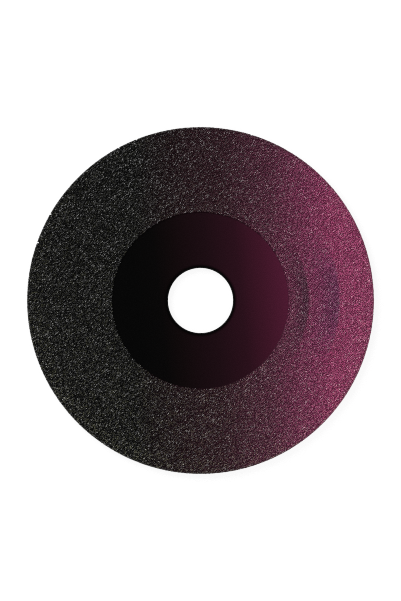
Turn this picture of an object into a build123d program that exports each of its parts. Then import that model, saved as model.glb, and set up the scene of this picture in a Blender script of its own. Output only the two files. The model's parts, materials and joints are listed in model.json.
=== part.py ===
from build123d import *
import os

# A diamond cutting disc for an angle grinder. A flat steel blank with a plain bore carries one coat of
# diamond grit, brazed over the outer band of both faces and wrapped round the rim. The middle stays
# bare on both sides, where the grinder's flanges clamp.
#
# Millimetres. Z is the bore's axis, the origin is on it halfway through the blank, and +Z points out of
# the printed face. Angles are in degrees, anticlockwise from +X as seen from +Z.

# Blank
BORE_DIAMETER = 22.23
BORE_CHAMFER = 0.3
BLANK_DIAMETER = 117.2
BLANK_THICKNESS = 1.8

# Coat, measured to the tips of its grains
BARE_DIAMETER = 60.0
FACE_COAT = 0.5
RIM_COAT = 0.7
SHOULDER_RADIUS = 0.5
INNER_SLOPE = 0.35

# Chips in the rim, where grains have broken out right through the disc: angle, width and depth
RIM_CHIPS = [
    (73.0, 0.40, 0.30),
    (111.8, 0.40, 0.42),
    (118.2, 0.42, 0.42),
    (150.1, 0.50, 0.48),
    (160.4, 0.48, 0.68),
]
# How far a chip's cut starts and ends beyond the coat
CUT_OVERSHOOT = 1.0

# Sizes worked out from the ones above
BORE_RADIUS = BORE_DIAMETER / 2
BLANK_RADIUS = BLANK_DIAMETER / 2
BARE_RADIUS = BARE_DIAMETER / 2
DISC_RADIUS = BLANK_RADIUS + RIM_COAT
BLANK_TOP = BLANK_THICKNESS / 2
COAT_TOP = BLANK_TOP + FACE_COAT


def turned(section):
    """A half section in the XZ plane, turned round the bore's axis."""
    # Faces that lie in one plane stay apart, so the bare clamping face ends where the coat begins.
    return revolve(section, Axis.Z, clean=False)


def steel_core():
    """The blank: a flat round plate, its bore chamfered at both faces."""
    outline = [
        (BORE_RADIUS, -BLANK_TOP + BORE_CHAMFER),
        (BORE_RADIUS + BORE_CHAMFER, -BLANK_TOP),
        (BARE_RADIUS, -BLANK_TOP),
        (BLANK_RADIUS, -BLANK_TOP),
        (BLANK_RADIUS, BLANK_TOP),
        (BARE_RADIUS, BLANK_TOP),
        (BORE_RADIUS + BORE_CHAMFER, BLANK_TOP),
        (BORE_RADIUS, BLANK_TOP - BORE_CHAMFER),
    ]
    return turned(Plane.XZ * make_face(Polyline(*outline, close=True)))


def coat_section():
    """Half section of the coat: a channel that grips the blank's outer band from both sides."""
    outside = Polyline(
        (BARE_RADIUS, -BLANK_TOP),
        (BARE_RADIUS + INNER_SLOPE, -COAT_TOP),
        (DISC_RADIUS, -COAT_TOP),
        (DISC_RADIUS, COAT_TOP),
        (BARE_RADIUS + INNER_SLOPE, COAT_TOP),
        (BARE_RADIUS, BLANK_TOP),
    )
    inside = Polyline(
        (BARE_RADIUS, BLANK_TOP),
        (BLANK_RADIUS, BLANK_TOP),
        (BLANK_RADIUS, -BLANK_TOP),
        (BARE_RADIUS, -BLANK_TOP),
    )
    section = make_face([outside, inside])
    shoulders = section.vertices().group_by(Axis.X)[-1]
    return fillet(shoulders, SHOULDER_RADIUS)


def chip(angle, width, depth):
    """The cutter for one chip: a groove with a round bottom, across the whole rim."""
    bottom = DISC_RADIUS - depth
    groove = SlotOverall(2 * (depth + CUT_OVERSHOOT), width)
    through = extrude(groove, COAT_TOP + CUT_OVERSHOOT, both=True)
    return Rot(Z=angle) * Pos(X=bottom + depth + CUT_OVERSHOOT) * through


def diamond_coat():
    """The grit and its braze, as one ring with the chips cut out of its rim."""
    coat = turned(Plane.XZ * coat_section())
    for angle, width, depth in RIM_CHIPS:
        coat -= chip(angle, width, depth)
    return coat


def main():
    """Write one STEP file for each sub-part."""
    os.makedirs("parts", exist_ok=True)
    export_step(steel_core(), "parts/steel_core.step")
    export_step(diamond_coat(), "parts/diamond_coat.step")


main()
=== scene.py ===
"""Looks of a diamond cutting disc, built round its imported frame.

The disc lies on a pale floor with its printed face up, and the camera looks straight down on it.
The steel blank is the frame's own node with a painted finish. The coat is made here: a bed of braze
that grips the blank's outer band, and the diamond grains that stand in it, on both faces and round
the rim.

Lengths are in metres, X points to the magenta side of the print, and Z is the bore's axis.
"""

import json
import logging
import math
from collections.abc import Callable, Iterable, Mapping, Sequence
from dataclasses import dataclass, field, fields
from enum import Enum
from functools import cached_property
from typing import Any, ClassVar, Union

import bpy
import numpy as np
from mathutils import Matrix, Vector

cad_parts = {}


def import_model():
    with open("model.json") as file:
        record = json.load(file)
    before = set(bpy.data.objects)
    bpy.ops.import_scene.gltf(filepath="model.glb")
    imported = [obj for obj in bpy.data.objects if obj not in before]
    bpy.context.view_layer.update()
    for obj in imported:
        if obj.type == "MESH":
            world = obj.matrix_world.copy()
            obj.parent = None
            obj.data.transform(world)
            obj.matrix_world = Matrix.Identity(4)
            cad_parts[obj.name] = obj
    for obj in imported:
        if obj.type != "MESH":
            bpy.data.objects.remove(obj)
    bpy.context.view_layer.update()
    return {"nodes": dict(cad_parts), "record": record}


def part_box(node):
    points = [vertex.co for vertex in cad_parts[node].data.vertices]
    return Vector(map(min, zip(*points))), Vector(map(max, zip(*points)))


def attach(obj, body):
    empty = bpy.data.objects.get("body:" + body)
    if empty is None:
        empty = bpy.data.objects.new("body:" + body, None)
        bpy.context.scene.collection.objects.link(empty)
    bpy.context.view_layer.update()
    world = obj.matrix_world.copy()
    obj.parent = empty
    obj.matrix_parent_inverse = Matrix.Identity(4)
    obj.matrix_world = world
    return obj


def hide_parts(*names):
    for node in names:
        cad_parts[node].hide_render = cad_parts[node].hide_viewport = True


LOG = logging.getLogger("cutting_disc")
MM = 0.001
# The map that each grit piece is laid out on, flat
BAKE_MAP = "OFBake"
# Two numbers from 0 to 1 that each grain keeps on its mesh: how clear it is, which also sets its
# painted glint, and how much ink it holds
SPARKLE = "sparkle"
COVER = "cover"
# Points that lie closer together than this are one point
TOUCHING = 0.001 * MM

Colour = tuple[float, float, float]


@dataclass(frozen=True)
class Chip:
    """A spot on the rim where grains have broken out right through the disc."""

    angle_deg: float
    width: float
    depth: float


RIM_CHIPS = (
    Chip(73.0, 0.40 * MM, 0.30 * MM),
    Chip(111.8, 0.40 * MM, 0.42 * MM),
    Chip(118.2, 0.42 * MM, 0.42 * MM),
    Chip(150.1, 0.50 * MM, 0.48 * MM),
    Chip(160.4, 0.48 * MM, 0.68 * MM),
)


@dataclass(frozen=True)
class DiscSizes:
    """The disc's sizes. The coat is measured to the tips of its grains."""

    disc_radius: float
    coat_top: float
    blank_radius: float
    blank_top: float
    bore_radius: float
    bare_radius: float = 30.0 * MM
    shoulder_radius: float = 0.5 * MM
    bed_depth: float = 0.24 * MM

    @classmethod
    def from_frame(cls, record: Mapping[str, Any]) -> "DiscSizes":
        """Read the sizes that the frame holds.

        Args:
            record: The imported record, whose mounts give the bore.

        Returns:
            The sizes in metres.
        """
        low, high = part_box("diamond_coat")
        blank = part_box("steel_core")[1]
        bore = next(m for m in record["mounts"] if m["name"] == "arbor_bore")
        return cls(
            disc_radius=min(high.x, high.y, -low.x, -low.y),
            coat_top=min(high.z, -low.z),
            blank_radius=blank.x,
            blank_top=blank.z,
            bore_radius=bore["dims"]["r_mm"] * MM,
        )

    @property
    def bed_radius(self) -> float:
        """Radius of the braze bed's rim, between the grains."""
        return self.disc_radius - self.bed_depth

    @property
    def bed_top(self) -> float:
        """Height of the braze bed on each face."""
        return self.coat_top - self.bed_depth


Value = Union["Shade", float, Colour, Sequence[float]]


class Shade:
    """What a node gives. Arithmetic on one that gives a number adds the Math nodes."""

    def __init__(self, board: "NodeBoard", socket: bpy.types.NodeSocket) -> None:
        """Wrap one output socket of a board's node."""
        self.board = board
        self.socket = socket

    def __add__(self, other: Value) -> "Shade":
        """Sum of two shades."""
        return self.board.maths("ADD", self, other)

    __radd__ = __add__

    def __sub__(self, other: Value) -> "Shade":
        """This shade less another."""
        return self.board.maths("SUBTRACT", self, other)

    def __rsub__(self, other: Value) -> "Shade":
        """A number less this shade."""
        return self.board.maths("SUBTRACT", other, self)

    def __mul__(self, other: Value) -> "Shade":
        """Product of two shades."""
        return self.board.maths("MULTIPLY", self, other)

    __rmul__ = __mul__

    def __truediv__(self, other: Value) -> "Shade":
        """This shade over another."""
        return self.board.maths("DIVIDE", self, other)

    def __rtruediv__(self, other: Value) -> "Shade":
        """A number over this shade."""
        return self.board.maths("DIVIDE", other, self)

    def __gt__(self, other: Value) -> "Shade":
        """1 where this shade is the greater, 0 elsewhere."""
        return self.board.maths("GREATER_THAN", self, other)

    def __lt__(self, other: Value) -> "Shade":
        """1 where this shade is the lesser, 0 elsewhere."""
        return self.board.maths("LESS_THAN", self, other)


class NodeBoard:
    """The node tree of one material or world, and the ways in which nodes are put on it."""

    def __init__(self, holder: bpy.types.Material | bpy.types.World) -> None:
        """Clear a node tree.

        Args:
            holder: The new material or world that the tree belongs to.
        """
        self.holder = holder
        self.holder.use_nodes = True
        self.tree = self.holder.node_tree
        self.tree.nodes.clear()

    @classmethod
    def of(cls, name: str) -> "NodeBoard":
        """A board for a new material of this name."""
        return cls(bpy.data.materials.new(name))

    def node(
        self,
        kind: str,
        settings: Mapping[str, Any] | None = None,
        sockets: Mapping[str | int, Value] | None = None,
    ) -> bpy.types.Node:
        """Add one node.

        Args:
            kind: The node's type, less its ShaderNode prefix.
            settings: Its properties, set first. A ramp's stops are (place, colour) pairs.
            sockets: Values or links of its inputs, by name or number.

        Returns:
            The new node.
        """
        new = self.tree.nodes.new("ShaderNode" + kind)
        for name, value in (settings or {}).items():
            if name == "stops":
                self.set_stops(new.color_ramp, value)
            else:
                setattr(new, name, value)
        for name, value in (sockets or {}).items():
            if isinstance(value, Shade):
                self.tree.links.new(value.socket, new.inputs[name])
            else:
                new.inputs[name].default_value = self.padded(value, new.inputs[name])
        return new

    def read(
        self,
        kind: str,
        settings: Mapping[str, Any] | None = None,
        sockets: Mapping[str | int, Value] | None = None,
        output: str | int = 0,
    ) -> Shade:
        """Add one node and return what it gives.

        Args:
            kind: As for node.
            settings: As for node.
            sockets: As for node.
            output: The output that is wanted, by name or number.

        Returns:
            The output.
        """
        return Shade(self, self.node(kind, settings, sockets).outputs[output])

    @staticmethod
    def set_stops(ramp: bpy.types.ColorRamp, stops: Sequence[tuple[float, Colour]]) -> None:
        """Give a colour ramp its stops.

        Args:
            ramp: The ramp.
            stops: Places and colours, in order of their places.
        """
        while len(ramp.elements) > 1:
            ramp.elements.remove(ramp.elements[-1])
        ramp.elements[0].position = stops[0][0]
        ramp.elements[0].color = (*stops[0][1], 1.0)
        for place, colour in stops[1:]:
            ramp.elements.new(place).color = (*colour, 1.0)

    @staticmethod
    def padded(value: Any, socket: bpy.types.NodeSocket) -> Any:
        """Give a colour its alpha where a socket wants four numbers.

        Args:
            value: What the socket is set to.
            socket: The socket.

        Returns:
            The value, with an alpha of 1 if it needs one.
        """
        if socket.type == "RGBA" and len(value) == 3:
            return (*value, 1.0)
        return value

    def maths(self, operation: str, *values: Value, clamp: bool = False) -> Shade:
        """Add a Math node and return its result.

        Args:
            operation: The Math node's operation.
            values: Its inputs in order.
            clamp: Whether the result is kept between 0 and 1.

        Returns:
            The result.
        """
        settings = {"operation": operation, "use_clamp": clamp}
        return self.read("Math", settings, dict(enumerate(values)))

    def mix(self, factor: Value, first: Value, second: Value, how: str = "MIX") -> Shade:
        """Mix two colours.

        Args:
            factor: 0 for the first colour, 1 for the second.
            first: The first colour.
            second: The second colour.
            how: The blend type.

        Returns:
            The mixed colour.
        """
        settings = {"data_type": "RGBA", "blend_type": how}
        return self.read("Mix", settings, {0: factor, 6: first, 7: second}, output=2)

    def fade(self, value: Value, start: float, end: float) -> Shade:
        """A smooth step: 0 where value is at start, 1 where it is at end.

        Args:
            value: What is stepped.
            start: The value that gives 0.
            end: The value that gives 1.

        Returns:
            The step, kept between 0 and 1.
        """
        settings = {"interpolation_type": "SMOOTHSTEP", "clamp": True}
        sockets = {"Value": value, "From Min": start, "From Max": end}
        if start > end:
            sockets = {"Value": value, "From Min": end, "From Max": start}
            sockets.update({"To Min": 1.0, "To Max": 0.0})
        return self.read("MapRange", settings, sockets)

    def place(self) -> tuple[Shade, Shade, Shade, Shade]:
        """Where a surface point is.

        Returns:
            The Object coordinates as a vector, and its X, Y and Z.
        """
        point = self.read("TexCoord", output="Object")
        split = self.node("SeparateXYZ", sockets={0: point})
        return (point, *(Shade(self, out) for out in split.outputs))

    def radius(self, x: Shade, y: Shade) -> Shade:
        """Distance from the bore's axis."""
        return self.maths("SQRT", x * x + y * y)

    def noise(self, point: Shade, grain_size: float, detail: float = 2.0) -> Shade:
        """Noise from 0 to 1 whose lumps are about grain_size across.

        Args:
            point: The coordinates it is drawn on.
            grain_size: Size of its lumps in metres.
            detail: How many finer layers are laid over them.

        Returns:
            The noise.
        """
        sockets = {"Vector": point, "Scale": 1 / grain_size, "Detail": detail}
        return self.read("TexNoise", sockets=sockets)

    def varied(self, noise: Shade, middle: float, spread: float) -> Shade:
        """A number that noise from 0 to 1 varies about its middle."""
        return middle + (noise - 0.5) * spread

    def bump(self, height: Shade, depth: float) -> Shade:
        """The normal of a surface that a height from 0 to 1 roughens, by up to depth in metres."""
        return self.read("Bump", sockets={"Height": height, "Distance": depth})

    def toned(self, colour: Value, level: Shade) -> Shade:
        """A colour times a number."""
        grey = self.read("CombineColor", sockets={0: level, 1: level, 2: level})
        return self.mix(1.0, colour, grey, "MULTIPLY")

    def light_path(self) -> tuple[Shade, Shade]:
        """What looks at a surface.

        Returns:
            1 for the camera's own rays, and 1 for rays that come by a glossy or clear surface.
        """
        seen = self.node("LightPath").outputs
        rays = ("Is Camera Ray", "Is Glossy Ray", "Is Transmission Ray")
        camera, gloss, clear = (Shade(self, seen[ray]) for ray in rays)
        return camera, gloss + clear

    def surface(self, sockets: Mapping[str, Value]) -> bpy.types.Material:
        """Finish the material with one Principled shader.

        Args:
            sockets: Values or links of the shader's inputs.

        Returns:
            The material.
        """
        shader = self.read("BsdfPrincipled", sockets=sockets)
        self.node("OutputMaterial", sockets={"Surface": shader})
        return self.holder


@dataclass(frozen=True)
class ArcBand:
    """A soft arc in the print, crisp at its outer edge and fading towards the bore."""

    edge_radius: float
    fade: float
    strength: float
    colour: Colour


@dataclass(frozen=True)
class Print:
    """The ink on the disc's front: black on the left, running to magenta on the right.

    The shades are given with their places across the print, for the smooth paint and for the grit.
    Two soft arcs lie in the ink on the grit, and it is darker where the coat rounds the rim. The
    back is plain.
    """

    paint: tuple[tuple[float, Colour], ...] = (
        (-22.0 * MM, (0.0010, 0.0010, 0.0010)),
        (-14.0 * MM, (0.0017, 0.0013, 0.0014)),
        (-8.0 * MM, (0.0045, 0.0020, 0.0024)),
        (4.0 * MM, (0.0115, 0.0033, 0.0058)),
        (14.0 * MM, (0.0228, 0.0046, 0.0103)),
        (22.0 * MM, (0.0470, 0.0070, 0.0190)),
        (30.0 * MM, (0.0765, 0.0100, 0.0310)),
    )
    grit: tuple[tuple[float, Colour], ...] = (
        (-22.0 * MM, (0.0010, 0.0010, 0.0010)),
        (-8.0 * MM, (0.0110, 0.0027, 0.0049)),
        (8.0 * MM, (0.0268, 0.0065, 0.0125)),
        (24.0 * MM, (0.0758, 0.0160, 0.0365)),
        (38.0 * MM, (0.1680, 0.0272, 0.0765)),
        (45.0 * MM, (0.2300, 0.0358, 0.1005)),
        (52.0 * MM, (0.2440, 0.0396, 0.1085)),
    )
    back: Colour = (0.0030, 0.0030, 0.0031)
    arcs: tuple[ArcBand, ...] = (
        ArcBand(37.0 * MM, 7.5 * MM, 0.70, (0.040, 0.016, 0.030)),
        ArcBand(47.5 * MM, 11.5 * MM, 0.68, (0.085, 0.024, 0.070)),
    )
    arc_half_height: float = 24.0 * MM
    arc_end_fade: float = 20.0 * MM
    arc_edge: float = 0.5 * MM
    rim_from: float = 58.1 * MM
    rim_to: float = 59.0 * MM
    rim_dark: float = 0.34

    def draw(
        self, board: NodeBoard, stops: Sequence[tuple[float, Colour]], across: Shade, z: Shade
    ) -> Shade:
        """Work out the ink's colour.

        Args:
            board: The material that is being made.
            stops: The shades, each with its place across the print.
            across: The place across the print, towards magenta.
            z: The height, which tells the front from the back.

        Returns:
            The colour.
        """
        start, end = stops[0][0], stops[-1][0]
        spread = [((place - start) / (end - start), colour) for place, colour in stops]
        ink = board.read("ValToRGB", {"stops": spread}, {0: (across - start) / (end - start)})
        return board.mix(z > 0.0, self.back, ink)

    def draw_on_grit(self, board: NodeBoard, x: Shade, y: Shade, z: Shade) -> Shade:
        """Work out the ink's colour over the coat, with its arcs and its dark rim.

        Args:
            board: The material that is being made.
            x: The place across the print.
            y: The place up the print.
            z: The height.

        Returns:
            The colour.
        """
        ink = self.draw(board, self.grit, x, z)
        radius = board.radius(x, y)
        end, whole = self.arc_half_height, self.arc_half_height - self.arc_end_fade
        ends = board.fade(board.maths("ABSOLUTE", y), end, whole)
        where = ends * (x > 0.0) * (z > 0.0)
        for arc in self.arcs:
            within, beyond = arc.edge_radius - self.arc_edge, arc.edge_radius + self.arc_edge
            inner = board.fade(radius, arc.edge_radius - arc.fade, within)
            outer = board.fade(radius, beyond, within)
            ink = board.mix(inner * outer * where * arc.strength, ink, arc.colour)
        ink_level = 1.0 - board.fade(radius, self.rim_from, self.rim_to) * self.rim_dark
        return board.toned(ink, ink_level)


@dataclass(frozen=True)
class PaintedBlank:
    """Satin paint on the blank's bare middle, dark steel in the bore and a dark ring round it."""

    sizes: DiscSizes
    ink: Print
    # Painted light: the print's ramp leans with height, so the paint is a little lighter towards
    # the top.
    lean: float = 0.11
    roughness: float = 0.30
    roughness_spread: float = 0.10
    gloss: float = 0.1
    peel_size: float = 0.35 * MM
    peel_depth: float = 0.004 * MM
    bore_steel: Colour = (0.004, 0.004, 0.004)
    bore_edge: float = 0.32 * MM
    ring_width: float = 1.35 * MM
    ring_ink: Colour = (0.0, 0.0, 0.0)
    groove_pitch: float = 0.08 * MM
    groove_spread: float = 0.25

    def material(self) -> bpy.types.Material:
        """Make the finish.

        Returns:
            The material.
        """
        board = NodeBoard.of("painted_blank")
        point, x, y, z = board.place()
        radius = board.radius(x, y)
        # Painted light: the ramp leans so that the top of the paint is lighter.
        ink = self.ink.draw(board, self.ink.paint, x + y * self.lean, z)
        edge = self.sizes.bore_radius + self.bore_edge
        ring = board.fade(radius, edge + self.ring_width, edge)
        ink = board.mix(ring, ink, self.ring_ink)
        bare = radius < edge
        grain = board.noise(point, self.peel_size)
        rough = board.varied(grain, self.roughness, self.roughness_spread)
        grooves = board.read("CombineXYZ", sockets={2: z})
        turned = board.noise(grooves, self.groove_pitch) * self.groove_spread
        return board.surface({
            "Base Color": board.mix(bare, ink, self.bore_steel),
            "Roughness": rough + bare * turned,
            "Specular IOR Level": self.gloss,
            "Normal": board.bump(grain, self.peel_depth),
        })


@dataclass(frozen=True)
class InkedBraze:
    """The bed of braze between the grains, under the same ink and a painted shade."""

    ink: Print
    roughness: float = 0.5
    roughness_spread: float = 0.3
    gloss: float = 0.05
    # Painted shade between the grains: the bed keeps about half the ink's colour, varied in lumps.
    ink_held: float = 0.50
    ink_spread: float = 0.40
    lump_size: float = 0.30 * MM
    lump_depth: float = 0.10 * MM
    lump_detail: float = 3.0

    def material(self) -> bpy.types.Material:
        """Make the finish.

        Returns:
            The material.
        """
        board = NodeBoard.of("inked_braze")
        point, x, y, z = board.place()
        ink = self.ink.draw_on_grit(board, x, y, z)
        lumps = board.noise(point, self.lump_size, self.lump_detail)
        # Painted shade: the bed is darker than the grains, and varies in lumps.
        ink_level = board.varied(lumps, self.ink_held, self.ink_spread)
        return board.surface({
            "Base Color": board.toned(ink, ink_level),
            "Roughness": board.varied(lumps, self.roughness, self.roughness_spread),
            "Specular IOR Level": self.gloss,
            "Normal": board.bump(lumps, self.lump_depth),
        })


@dataclass(frozen=True)
class DiamondGrit:
    """Diamond grains under thin ink: some covered, and clear ones lighter, with painted glints.

    The painted glints are stronger near the rim and near the bare middle, and, as painted light,
    stronger towards the bottom of the print.
    """

    ink: Print
    roughness: float = 0.19
    roughness_spread: float = 0.12
    gloss: float = 0.5
    thin_ink: float = 1.06
    thick_ink: float = 2.12
    # A whitish colour added to clear grains: partly their own lightness, partly a painted glint.
    shine: Colour = (0.042, 0.042, 0.0262)
    # How much more of the ink's colour a clear grain shows: a painted, ink-tinted glint.
    clear_ink: float = 0.65
    # Painted light: the glints grow stronger towards the bottom of the print.
    wear_slope: float = 12.0
    # The glints grow stronger near the rim and near the bare middle.
    rim_wear: float = 0.80
    rim_wear_from: float = 53.0 * MM
    rim_wear_to: float = 55.5 * MM
    hub_wear: float = 0.10
    hub_wear_from: float = 36.0 * MM
    hub_wear_to: float = 32.0 * MM

    def material(self) -> bpy.types.Material:
        """Make the finish.

        Returns:
            The material.
        """
        board = NodeBoard.of("diamond_grit")
        _, x, y, z = board.place()
        ink = self.ink.draw_on_grit(board, x, y, z)
        sparkle, cover = (
            board.read("Attribute", {"attribute_name": mark}, output="Fac")
            for mark in (SPARKLE, COVER)
        )
        # Clear grains take more of the ink's colour: a painted, ink-tinted glint.
        ink_level = cover * (self.thick_ink - self.thin_ink) + sparkle * self.clear_ink + self.thin_ink
        radius = board.radius(x, y)
        at_rim = board.fade(radius, self.rim_wear_from, self.rim_wear_to) * self.rim_wear
        at_hub = board.fade(radius, self.hub_wear_from, self.hub_wear_to) * self.hub_wear
        # Painted glints: stronger towards the bottom of the print, as painted light, and near the
        # rim and the bare middle.
        shine_level = sparkle * (1.0 - y * self.wear_slope) * (at_rim + at_hub + 1.0)
        inked, shining = board.toned(ink, ink_level), board.toned(self.shine, shine_level)
        return board.surface({
            "Base Color": board.mix(1.0, inked, shining, "ADD"),
            "Roughness": (1.0 - sparkle) * self.roughness_spread + self.roughness,
            "Specular IOR Level": self.gloss,
        })


@dataclass(frozen=True)
class PaleFloor:
    """A white floor that keeps the disc's shadow, and that can be looked through from below.

    It glows white to the camera and in what mirrors it, a little less near the disc, where the
    lamps add to it.
    """

    colour: Colour = (0.16, 0.16, 0.16)
    glow: float = 0.875
    far_glow: float = 1.0
    near: float = 0.3
    far: float = 1.2

    def material(self) -> bpy.types.Material:
        """Make the finish.

        Returns:
            The material.
        """
        board = NodeBoard.of("pale_floor")
        _, x, y, _ = board.place()
        camera, mirrored = board.light_path()
        far_out = board.fade(board.radius(x, y), self.near, self.far)
        glow = far_out * (self.far_glow - self.glow) + self.glow
        strength = board.maths("ADD", camera, mirrored, clamp=True) * glow
        plain = board.read("BsdfDiffuse", sockets={"Color": self.colour})
        white = board.read("Emission", sockets={"Strength": strength})
        top = board.read("AddShader", sockets={0: plain, 1: white})
        clear = board.read("BsdfTransparent")
        below = board.read("NewGeometry", output="Backfacing")
        floor = board.read("MixShader", sockets={0: below, 1: top, 2: clear})
        board.node("OutputMaterial", sockets={"Surface": floor})
        return board.holder


@dataclass(frozen=True)
class StudioSky:
    """White all round to the camera. On the disc it is dim and even, and darker overhead.

    Its bounds are the heights of a ray's way, from 0 at the horizon to 1 overhead.
    """

    low: float = 0.04
    top: float = 0.015
    dim_from: float = 0.70
    dim_to: float = 0.93
    white_up_to: float = 0.10

    def world(self) -> bpy.types.World:
        """Make the world.

        Returns:
            The world.
        """
        board = NodeBoard(bpy.data.worlds.new("studio"))
        way = board.read("TexCoord", output="Generated")
        height = board.read("SeparateXYZ", sockets={0: way}, output=2)
        lit = board.fade(height, self.dim_from, self.dim_to) * (self.top - self.low) + self.low
        camera, mirrored = board.light_path()
        white = board.maths("ADD", camera, mirrored * (height < self.white_up_to), clamp=True)
        strength = white * (1.0 - lit) + lit
        light = board.read("Background", sockets={"Color": (1.0, 1.0, 1.0), "Strength": strength})
        board.node("OutputWorld", sockets={"Surface": light})
        return board.holder


def start_fresh() -> None:
    """Leave edit mode and deselect everything."""
    if bpy.context.object and bpy.context.object.mode != "OBJECT":
        bpy.ops.object.mode_set(mode="OBJECT")
    bpy.ops.object.select_all(action="DESELECT")


def take_up(piece: bpy.types.Object) -> None:
    """Select one piece alone and make it active.

    Args:
        piece: The piece.
    """
    start_fresh()
    piece.select_set(True)
    bpy.context.view_layer.objects.active = piece


def named(name: str) -> bpy.types.Object:
    """Give the active object and its mesh a name.

    Args:
        name: The name.

    Returns:
        The object.
    """
    piece = bpy.context.object
    piece.name = name
    piece.data.name = name
    return piece


def settle(piece: bpy.types.Object) -> None:
    """Put a piece's place, turn and scale into its mesh."""
    take_up(piece)
    bpy.ops.object.transform_apply(location=True, rotation=True, scale=True)


def level_ways(angle_deg: float) -> tuple[np.ndarray, np.ndarray]:
    """The level way at an angle from X, and the one square to it.

    Args:
        angle_deg: The angle, anticlockwise.

    Returns:
        Both ways as unit vectors.
    """
    turn = math.radians(angle_deg)
    east, north = math.cos(turn), math.sin(turn)
    return np.array([east, north, 0]), np.array([-north, east, 0])


def select_where(piece: bpy.types.Object, test: Callable[[Vector], bool]) -> None:
    """In edit mode, select the vertices whose places pass a test.

    Args:
        piece: The object in edit mode.
        test: Says whether a vertex at a local place is selected.
    """
    bpy.ops.mesh.select_mode(type="VERT")
    bpy.ops.mesh.select_all(action="DESELECT")
    bpy.ops.object.mode_set(mode="OBJECT")
    for vertex in piece.data.vertices:
        vertex.select = test(vertex.co)
    bpy.ops.object.mode_set(mode="EDIT")


@dataclass
class BrazeBed:
    """The bed of braze: one channel round the blank's outer band, chipped at the rim."""

    sizes: DiscSizes
    finish: InkedBraze
    segments: int = 360
    face_rings: int = 12
    shoulder_steps: int = 5
    smooth_deg: float = 35.0
    inner_slope: float = 0.25 * MM
    cutter_sides: int = 16
    cutter_reach: float = 1.0 * MM

    def outline(self) -> list[tuple[float, float]]:
        """Lay out the channel's section, from its front inner edge round the rim and back inside.

        Returns:
            The section's corners, as radii and heights.
        """
        s = self.sizes
        inner = s.bare_radius + self.inner_slope
        corner = s.bed_radius - s.shoulder_radius
        centre_height = s.bed_top - s.shoulder_radius
        front = [(s.bare_radius, s.blank_top)]
        for i in range(self.face_rings):
            front.append((inner + (corner - inner) * i / self.face_rings, s.bed_top))
        for i in range(self.shoulder_steps + 1):
            turn = math.pi / 2 * i / self.shoulder_steps
            out, up = math.sin(turn), math.cos(turn)
            front.append((corner + s.shoulder_radius * out, centre_height + s.shoulder_radius * up))
        back = [(radius, -height) for radius, height in reversed(front)]
        inside = [(s.blank_radius, -s.blank_top), (s.blank_radius, s.blank_top)]
        return front + back + inside

    def build(self) -> bpy.types.Object:
        """Model the bed and chip its rim.

        Returns:
            The finished piece.
        """
        outline = self.outline()
        start_fresh()
        radius, height = outline[0]
        bpy.ops.mesh.primitive_circle_add(
            vertices=self.segments, radius=radius, location=(0, 0, height)
        )
        bed = named("braze_bed")
        settle(bed)
        bpy.ops.object.mode_set(mode="EDIT")
        bpy.ops.mesh.select_all(action="SELECT")
        for new_radius, new_height in outline[1:] + outline[:1]:
            bpy.ops.mesh.extrude_edges_move()
            grow = new_radius / radius
            bpy.ops.transform.resize(value=(grow, grow, 1), center_override=(0, 0, height))
            bpy.ops.transform.translate(value=(0, 0, new_height - height))
            radius, height = new_radius, new_height
        bpy.ops.mesh.select_all(action="SELECT")
        bpy.ops.mesh.remove_doubles(threshold=TOUCHING)
        bpy.ops.mesh.normals_make_consistent(inside=False)
        bpy.ops.object.mode_set(mode="OBJECT")
        for chip in RIM_CHIPS:
            self.cut(bed, chip)
        take_up(bed)
        bpy.ops.object.shade_smooth_by_angle(angle=math.radians(self.smooth_deg))
        bed.data.materials.clear()
        bed.data.materials.append(self.finish.material())
        return bed

    def cut(self, bed: bpy.types.Object, chip: Chip) -> None:
        """Cut one chip out of the bed's rim.

        Args:
            bed: The bed.
            chip: The chip.
        """
        start_fresh()
        s = self.sizes
        bpy.ops.mesh.primitive_cylinder_add(
            vertices=self.cutter_sides,
            radius=chip.width / 2,
            depth=2 * (s.coat_top + self.cutter_reach),
            location=(s.disc_radius - chip.depth + chip.width / 2, 0, 0),
        )
        cutter = bpy.context.object
        bpy.ops.object.mode_set(mode="EDIT")
        select_where(cutter, lambda place: place.x > TOUCHING)
        bpy.ops.transform.translate(value=(chip.depth + self.cutter_reach, 0, 0))
        bpy.ops.object.mode_set(mode="OBJECT")
        settle(cutter)
        cutter.rotation_euler.z = math.radians(chip.angle_deg)
        settle(cutter)
        take_up(bed)
        gap = bed.modifiers.new("chip", "BOOLEAN")
        gap.operation = "DIFFERENCE"
        gap.solver = "EXACT"
        gap.object = cutter
        bpy.ops.object.modifier_apply(modifier=gap.name)
        bpy.data.objects.remove(cutter)


class GrainShape(Enum):
    """The forms that the grains come in."""

    SHARP = "eight-sided crystal"
    BLUNT = "crystal with a broken tip"
    BLOCKY = "block"


class Side(Enum):
    """The disc's faces, by the way their height runs."""

    FRONT = 1
    BACK = -1


@dataclass(frozen=True)
class GrainSeats:
    """Where a set of grains sits on the coat's outer surface.

    Each seat has its point, its outward normal and two directions along the surface, and its place
    on a flat sheet that the surface is rolled out on.
    """

    points: np.ndarray
    normals: np.ndarray
    across: np.ndarray
    along: np.ndarray
    sheet: np.ndarray

    def picked(self, which: np.ndarray) -> "GrainSeats":
        """Some of the seats, by number or by a mask."""
        return GrainSeats(*(getattr(self, item.name)[which] for item in fields(self)))

    def rolled_out(self, clouds: np.ndarray) -> np.ndarray:
        """Where the points of grains fall on the sheet.

        Args:
            clouds: The points of the grain in each seat.

        Returns:
            Their places on the sheet.
        """
        offset = clouds - self.points[:, None]
        steps = [np.einsum("nki,ni->nk", offset, way) for way in (self.across, self.along)]
        return self.sheet[:, None] + np.stack(steps, 2)


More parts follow.
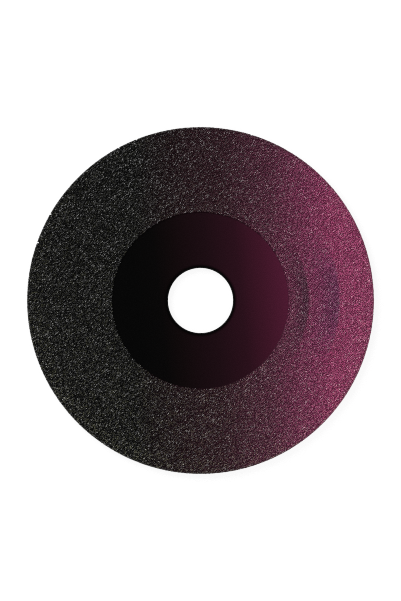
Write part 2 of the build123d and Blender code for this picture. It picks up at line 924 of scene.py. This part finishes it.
@dataclass
class GritCoat:
    """The grains on both faces and the rim, scattered on a spiral so that they never line up.

    They lie one way, as the coat was spread: each is longer that way and narrower across it. A
    grain's reach, break and block side are shares of its radius, and the forms' shares are in the
    order of GrainShape. The powers deep_power and clear_power keep deep grains and clear ones few;
    a clear grain's colour carries painted glints.
    """

    sizes: DiscSizes
    finish: DiamondGrit
    pitch: float = 0.44 * MM
    grain_radius: float = 0.205 * MM
    crystal_sides: int = 4
    crystal_reach: float = 1.30
    break_height: float = 0.5
    block_side: float = 1.35
    grain_spread: float = 0.12
    spread_limit: float = 2.0
    squash: float = 0.18
    jitter: float = 0.40
    sunk: float = 0.06 * MM
    deep_power: float = 1.5
    edge_inset: float = 0.30 * MM
    clear_power: float = 4.5
    lie_long: float = 1.75
    lie_short: float = 0.75
    lie_deg: float = 42.0
    seed: int = 7
    bands: tuple[str, ...] = ("inner", "middle", "outer")
    rim_strips: int = 9
    strip_gap: float = 0.88 * MM
    shares: tuple[float, ...] = (0.5, 0.25, 0.25)
    random: np.random.Generator = field(init=False)

    GOLDEN_TURN: ClassVar[float] = math.pi * (3 - math.sqrt(5))

    def __post_init__(self) -> None:
        """Start the one stream of random numbers."""
        self.random = np.random.default_rng(self.seed)

    @cached_property
    def grains(self) -> list[tuple[np.ndarray, np.ndarray]]:
        """One grain of each form, modelled once: its points and its triangles."""
        return [self.model_grain(shape) for shape in GrainShape]

    def model_grain(self, shape: GrainShape) -> tuple[np.ndarray, np.ndarray]:
        """Model one grain of about unit radius.

        Args:
            shape: Its form.

        Returns:
            Its points, and its faces as triangles of point numbers.
        """
        start_fresh()
        if shape is GrainShape.BLOCKY:
            bpy.ops.mesh.primitive_cube_add(size=self.block_side)
            bpy.ops.object.mode_set(mode="EDIT")
        else:
            reach = self.crystal_reach
            bpy.ops.mesh.primitive_cone_add(
                vertices=self.crystal_sides, radius1=reach, depth=reach, location=(0, 0, reach / 2)
            )
            settle(bpy.context.object)
            bpy.ops.object.mode_set(mode="EDIT")
            select_where(bpy.context.object, lambda place: place.z < reach / 2)
            bpy.ops.mesh.poke(offset=reach)
            bpy.ops.mesh.select_all(action="SELECT")
            if shape is GrainShape.BLUNT:
                plane = {"plane_co": (0, 0, self.break_height), "plane_no": (0, 0, 1)}
                bpy.ops.mesh.bisect(**plane, use_fill=True, clear_outer=True)
        grain = bpy.context.object
        bpy.ops.mesh.select_all(action="SELECT")
        bpy.ops.mesh.quads_convert_to_tris()
        bpy.ops.mesh.normals_make_consistent(inside=False)
        bpy.ops.object.mode_set(mode="OBJECT")
        points = np.array([v.co for v in grain.data.vertices])
        faces = np.array([f.vertices for f in grain.data.polygons])
        bpy.data.objects.remove(grain)
        LOG.info("%s: %d points, %d faces", shape.value, len(points), len(faces))
        return points, faces

    def face_seats(self, side: Side) -> GrainSeats:
        """Seats on one face, on a golden spiral from the bare middle out to the shoulder.

        Args:
            side: FRONT or BACK.

        Returns:
            The seats, from the innermost out.
        """
        s = self.sizes
        start = s.bare_radius + self.edge_inset
        end = s.disc_radius - s.shoulder_radius
        count = int(math.pi * (end**2 - start**2) / self.pitch**2)
        order = np.arange(count) + 0.5
        radius = np.sqrt(start**2 + order * self.pitch**2 / math.pi)
        turn = order * self.GOLDEN_TURN * side.value
        places = np.stack([radius * np.cos(turn), radius * np.sin(turn)], 1)
        places += self.random.uniform(-1, 1, places.shape) * self.jitter * self.pitch
        height = np.full((count, 1), side.value * s.coat_top)
        ways = [np.tile(way, (count, 1)) for way in ((0, 0, side.value), (1, 0, 0), (0, 1, 0))]
        return GrainSeats(np.hstack([places, height]), *ways, places)

    def rim_seats(self) -> GrainSeats:
        """Seats round the rim, over both shoulders, in strips on their sheet, one above the other.

        Returns:
            The seats, from the front shoulder to the back one.
        """
        s = self.sizes
        bend = s.shoulder_radius * math.pi / 2
        land = 2 * (s.coat_top - s.shoulder_radius)
        length = land + 2 * bend
        count = int(2 * math.pi * s.disc_radius * length / self.pitch**2)
        along = (np.arange(count) + 0.5) / count * length
        along += self.random.uniform(-1, 1, count) * self.jitter * self.pitch
        turn = np.arange(count) * self.GOLDEN_TURN
        tilt = (np.clip(along, 0, bend) + np.clip(along - bend - land, 0, bend)) / s.shoulder_radius
        out, up = np.sin(tilt), np.cos(tilt)
        down_land = np.clip(along - bend, 0, land)
        radius = s.disc_radius - s.shoulder_radius + s.shoulder_radius * out
        height = s.coat_top - s.shoulder_radius - down_land + s.shoulder_radius * up
        east, north, level = np.cos(turn), np.sin(turn), np.zeros(count)
        points = np.stack([radius * east, radius * north, height], 1)
        normals = np.stack([out * east, out * north, up], 1)
        across = np.stack([-north, east, level], 1)
        down = np.stack([up * east, up * north, -out], 1)
        strip, part = np.divmod(turn / (2 * math.pi) % 1 * self.rim_strips, 1)
        strip_length = 2 * math.pi * s.disc_radius / self.rim_strips
        sheet = np.stack([part * strip_length, strip * (length + self.strip_gap) + along], 1)
        return GrainSeats(points, normals, across, down, sheet)

    def chipped(self, seats: GrainSeats) -> np.ndarray:
        """Which seats have lost their grains.

        Args:
            seats: The seats.

        Returns:
            True for each seat that lies in a chip.
        """
        lost = np.zeros(len(seats.points), bool)
        edge = self.grain_radius / 2
        for chip in RIM_CHIPS:
            out, along = level_ways(chip.angle_deg)
            near = np.abs(seats.points @ along) < chip.width / 2 + edge
            far_out = seats.points @ out > self.sizes.disc_radius - chip.depth - edge
            lost |= near & far_out
        return lost

    def turns(self, count: int) -> np.ndarray:
        """Turn each grain at random.

        Args:
            count: How many grains there are.

        Returns:
            A rotation matrix for each.
        """
        q = self.random.normal(size=(count, 4))
        w, x, y, z = (q / np.linalg.norm(q, axis=1, keepdims=True)).T
        rows = [
            [1 - 2 * (y * y + z * z), 2 * (x * y - z * w), 2 * (x * z + y * w)],
            [2 * (x * y + z * w), 1 - 2 * (x * x + z * z), 2 * (y * z - x * w)],
            [2 * (x * z - y * w), 2 * (y * z + x * w), 1 - 2 * (x * x + y * y)],
        ]
        return np.array(rows).transpose(2, 0, 1)

    def lie(self) -> np.ndarray:
        """The stretch that makes a grain longer the way it lies, and narrower across it.

        Returns:
            The stretch as a matrix.
        """
        long, short = level_ways(self.lie_deg)
        up = np.diag([0, 0, 1])
        return up + self.lie_long * np.outer(long, long) + self.lie_short * np.outer(short, short)

    def grow(self, name: str, seats: GrainSeats) -> bpy.types.Object:
        """Set a grain in each seat and join them into one piece.

        Args:
            name: The piece's name.
            seats: Where the grains sit.

        Returns:
            The piece.
        """
        count = len(seats.points)
        kinds = self.random.choice(len(self.shares), count, p=self.shares)
        spread = self.random.normal(size=(count, 1, 1)).clip(-self.spread_limit, self.spread_limit)
        size = self.grain_radius * (1 + self.grain_spread * spread)
        stretch = 1 + self.squash * self.random.uniform(-1, 1, (count, 1, 3))
        turns = self.turns(count)
        depth = self.sunk * self.random.uniform(0, 1, (count, 1)) ** self.deep_power
        own = {
            SPARKLE: self.random.uniform(0, 1, count) ** self.clear_power,
            COVER: self.random.uniform(0, 1, count),
        }
        points, spots, faces = [], [], []
        marks = {mark: [] for mark in own}
        start = 0
        for kind, (grain, triangles) in enumerate(self.grains):
            mine = kinds == kind
            here = seats.picked(mine)
            cloud = np.einsum("nij,nkj->nki", turns[mine], grain[None] * stretch[mine] * size[mine])
            cloud = cloud @ self.lie()
            reach = np.einsum("nki,ni->nk", cloud, here.normals).max(1, keepdims=True)
            middle = here.points - here.normals * (reach + depth[mine])
            cloud += middle[:, None]
            cloud -= self.proud(cloud)[:, None]
            points.append(cloud.reshape(-1, 3))
            spots.append(here.rolled_out(cloud).reshape(-1, 2))
            first = start + np.arange(mine.sum()) * len(grain)
            faces.append((first[:, None, None] + triangles[None]).reshape(-1, 3))
            for mark, values in own.items():
                marks[mark].append(np.repeat(values[mine], len(grain)))
            start += mine.sum() * len(grain)
        marks = {mark: np.concatenate(values) for mark, values in marks.items()}
        return self.joined(name, np.vstack(points), np.vstack(faces), np.vstack(spots), marks)

    def proud(self, clouds: np.ndarray) -> np.ndarray:
        """How far grains stand out of the coat's size, at its outside and over the bare middle.

        Args:
            clouds: Each grain's points.

        Returns:
            One vector for each grain, by which it moves in to be inside.
        """
        s = self.sizes
        height = clouds[:, :, 2]
        too_high = (np.abs(height).max(1) - s.coat_top).clip(0) * np.sign(height.mean(1))
        radius = np.linalg.norm(clouds[:, :, :2], axis=2)
        too_wide = (radius.max(1) - s.disc_radius).clip(0)
        too_near = (s.bare_radius - radius.min(1)).clip(0)
        out = clouds[:, :, :2].mean(1)
        out /= np.linalg.norm(out, axis=1, keepdims=True)
        return np.hstack([out * (too_wide - too_near)[:, None], too_high[:, None]])

    def joined(
        self,
        name: str,
        points: np.ndarray,
        faces: np.ndarray,
        spots: np.ndarray,
        marks: Mapping[str, np.ndarray],
    ) -> bpy.types.Object:
        """Make one mesh object of many triangles.

        Args:
            name: Its name.
            points: Its points.
            faces: Its triangles.
            spots: Where each point falls on the flat sheet, which becomes its map.
            marks: The numbers kept on each point, by name.

        Returns:
            The object.
        """
        mesh = bpy.data.meshes.new(name)
        mesh.vertices.add(len(points))
        mesh.vertices.foreach_set("co", points.astype(np.float32).ravel())
        mesh.loops.add(faces.size)
        mesh.loops.foreach_set("vertex_index", faces.astype(np.int32).ravel())
        mesh.polygons.add(len(faces))
        starts = np.arange(0, faces.size, faces.shape[1], dtype=np.int32)
        mesh.polygons.foreach_set("loop_start", starts)
        mesh.update(calc_edges=True)
        mesh.shade_flat()
        for mark, values in marks.items():
            layer = mesh.attributes.new(mark, "FLOAT", "POINT")
            layer.data.foreach_set("value", values.astype(np.float32))
        spots = (spots - spots.min(0)) / np.ptp(spots, axis=0)
        layer = mesh.uv_layers.new(name=BAKE_MAP)
        layer.data.foreach_set("uv", spots[faces.ravel()].astype(np.float32).ravel())
        piece = bpy.data.objects.new(name, mesh)
        bpy.context.scene.collection.objects.link(piece)
        return piece

    def build(self) -> list[bpy.types.Object]:
        """Grow the grains of both faces, in bands, and of the rim.

        Returns:
            The pieces.
        """
        pieces = []
        for side in (Side.FRONT, Side.BACK):
            seats = self.face_seats(side)
            seats = seats.picked(~self.chipped(seats))
            parts = np.array_split(np.arange(len(seats.points)), len(self.bands))
            for band, part in zip(self.bands, parts):
                pieces.append(self.grow(f"{side.name.lower()}_grit_{band}", seats.picked(part)))
        rim = self.rim_seats()
        pieces.append(self.grow("rim_grit", rim.picked(~self.chipped(rim))))
        finish = self.finish.material()
        for piece in pieces:
            piece.data.materials.append(finish)
        return pieces


@dataclass(frozen=True)
class Lamp:
    """A soft square lamp: where it hangs, as seen from the disc, and its power."""

    name: str
    azimuth_deg: float
    height_deg: float
    watts: float


@dataclass
class Studio:
    """The floor, the light and the camera."""

    sizes: DiscSizes
    floor_size: float = 4.0
    picture_height: int = 601
    disc_radius_px: float = 173.14
    outline_depth: float = 0.12 * MM
    lens: float = 200.0
    sensor: float = 36.0
    pixel_blur: float = 1.0
    lamps: tuple[Lamp, ...] = (
        Lamp("key_lamp", 135.0, 36.0, 13.0),
        Lamp("second_lamp", 52.0, 45.0, 2.2),
        Lamp("right_lamp", -18.0, 50.0, 2.8),
        Lamp("low_lamp", -92.0, 45.0, 2.8),
        Lamp("left_lamp", 205.0, 45.0, 2.8),
    )
    lamp_size: float = 0.8
    lamp_distance: float = 1.2

    def build(self) -> None:
        """Lay the floor, light the disc and place the camera."""
        self.lay_floor()
        bpy.context.scene.world = StudioSky().world()
        for lamp in self.lamps:
            self.hang(lamp)
        self.set_camera()

    def lay_floor(self) -> None:
        """Lay the floor under the disc's back grains."""
        start_fresh()
        height = -self.sizes.coat_top
        bpy.ops.mesh.primitive_plane_add(size=self.floor_size, location=(0, 0, height))
        floor = named("floor")
        settle(floor)
        floor.data.materials.append(PaleFloor().material())

    def hang(self, lamp: Lamp) -> None:
        """Hang a soft square lamp that points at the disc.

        Args:
            lamp: The lamp.
        """
        turn, height = math.radians(lamp.azimuth_deg), math.radians(lamp.height_deg)
        level = math.cos(height)
        way = Vector((level * math.cos(turn), level * math.sin(turn), math.sin(height)))
        data = bpy.data.lights.new(lamp.name, "AREA")
        data.size = self.lamp_size
        data.energy = lamp.watts
        hung = bpy.data.objects.new(lamp.name, data)
        hung.location = way * self.lamp_distance
        hung.rotation_mode = "QUATERNION"
        hung.rotation_quaternion = (-way).to_track_quat("-Z", "Y")
        bpy.context.scene.collection.objects.link(hung)

    def set_camera(self) -> None:
        """Look straight down, with the disc as large, central and sharp as in the photograph."""
        outline = self.sizes.disc_radius - self.outline_depth
        metres_per_px = outline / self.disc_radius_px
        data = bpy.data.cameras.new("camera")
        data.lens = self.lens
        data.sensor_width = self.sensor
        camera = bpy.data.objects.new("camera", data)
        distance = self.picture_height * metres_per_px * self.lens / self.sensor
        camera.location = (0, 0, distance)
        bpy.context.scene.collection.objects.link(camera)
        bpy.context.scene.camera = camera
        bpy.context.scene.cycles.filter_width = self.pixel_blur


def report(pieces: Iterable[bpy.types.Object]) -> None:
    """Write each piece's name and size to the log."""
    for piece in pieces:
        LOG.info("%s: %d faces", piece.name, len(piece.data.polygons))


def main() -> None:
    """Build the disc round its frame, then the studio, and note the sizes."""
    logging.basicConfig(level=logging.INFO, format="%(name)s: %(message)s")
    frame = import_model()
    bpy.context.scene.view_settings.view_transform = "Standard"
    bpy.context.scene.cycles.use_denoising = False
    sizes = DiscSizes.from_frame(frame["record"])
    ink = Print()

    core = frame["nodes"]["steel_core"]
    core.data.materials.clear()
    core.data.materials.append(PaintedBlank(sizes, ink).material())

    bed = BrazeBed(sizes, InkedBraze(ink)).build()
    grit = GritCoat(sizes, DiamondGrit(ink)).build()
    for piece in [bed, *grit]:
        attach(piece, "root")
        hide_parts("diamond_coat")
    Studio(sizes).build()
    report([core, bed, *grit])


if __name__ == "__main__":
    main()
